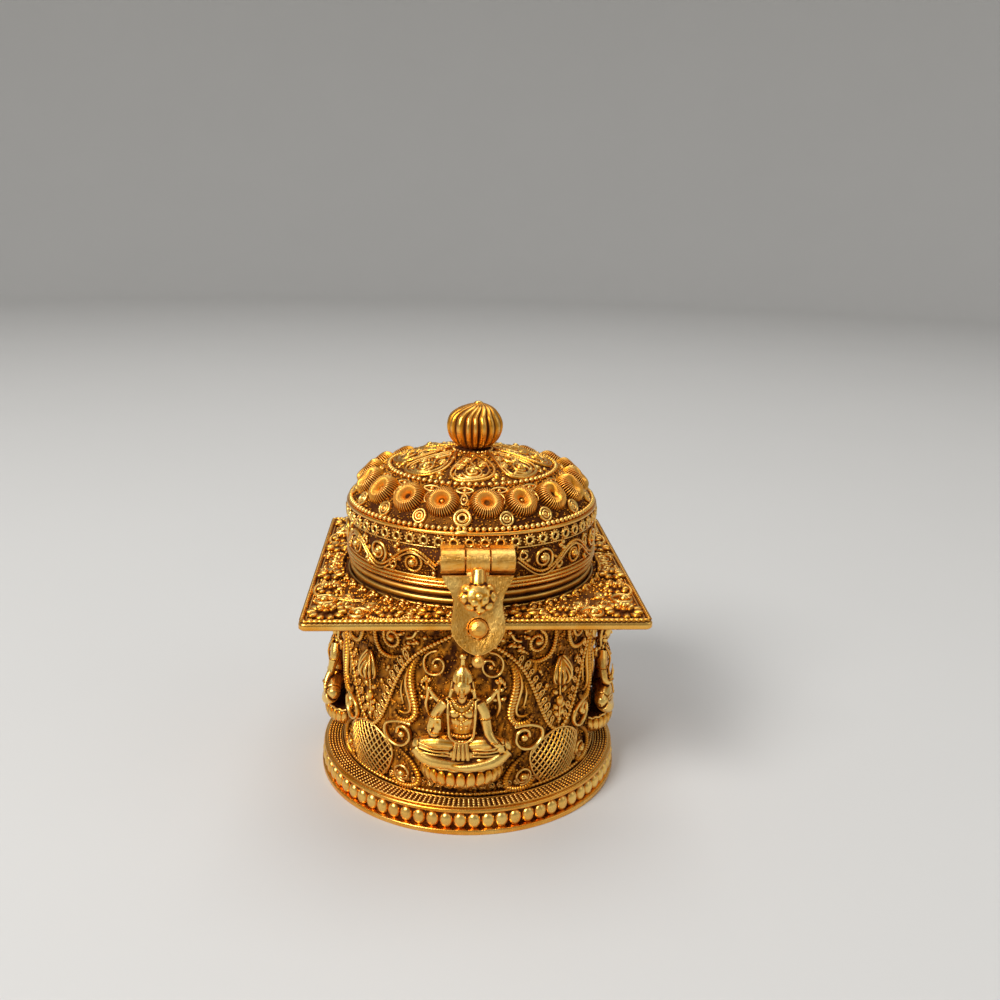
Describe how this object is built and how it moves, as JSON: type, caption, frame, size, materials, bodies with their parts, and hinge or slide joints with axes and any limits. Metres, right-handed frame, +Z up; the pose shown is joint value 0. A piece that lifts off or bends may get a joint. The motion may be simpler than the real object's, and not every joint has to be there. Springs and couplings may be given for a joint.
{
  "type": "paan box",
  "caption": "Round ornamental box on a beaded foot with a square plate round its neck, a hinged domed lid with a ribbed knob, and a hinged hasp that drops over a stud.",
  "frame": {"origin": "centre of the foot's flat underside", "axes": "+Z up through the knob, the hasp at -Y, the lid hinge at +Y"},
  "size_m": [0.06, 0.0643, 0.0735],
  "materials": {
    "gold": "antique gold finish, dark brown in the recesses",
    "pale_gold": "satin, with fine file marks"
  },
  "bodies": {
    "box": {"base_floor": "gold", "base_bead_band": "gold", "base_top": "gold", "base_grain_ring": "gold", "drum_foot_wire": "gold", "drum_wall": "gold", "inner_cup": "gold", "square_plate": "gold", "plate_edge_wire": "gold", "corner_flowers": "gold", "plate_leaf_scrolls": "gold", "arch_wires": "gold", "coiled_hooks": "gold", "spandrel_buds": "gold", "net_wedges": "gold", "coil_bosses": "gold", "lotus_seats": "gold", "front_figure": "gold", "right_figure": "gold", "back_figure": "gold", "left_figure": "gold", "box_hinge_leaf": "pale_gold", "lid_hinge_pin": "pale_gold", "latch_stud": "pale_gold"},
    "lid": {"lid_band": "gold", "band_vines": "gold", "band_flower_row": "gold", "lid_rim_wires": "gold", "lid_shoulder_wire": "gold", "lower_bead_row": "gold", "lid_dome": "gold", "rosettes": "gold", "ring_bezels": "gold", "upper_bead_row": "gold", "knob_neck": "gold", "knob": "gold", "lid_hinge_leaf": "pale_gold", "hasp_hinge_leaf": "pale_gold", "hasp_pin": "pale_gold"},
    "hasp": {"hasp_plate": "pale_gold", "hasp_flower": "gold", "hasp_tip_ball": "gold"}
  },
  "joints": [
    {"name": "lid_hinge", "type": "hinge", "parent": "box", "child": "lid", "pos_m": [0, 0.0263, 0.0454], "axis": [-1, 0, 0], "range_deg": [0, 105]},
    {"name": "hasp_hinge", "type": "hinge", "parent": "lid", "child": "hasp", "pos_m": [0, -0.0262, 0.051], "axis": [-1, 0, 0], "range_deg": [0, 150]}
  ]
}
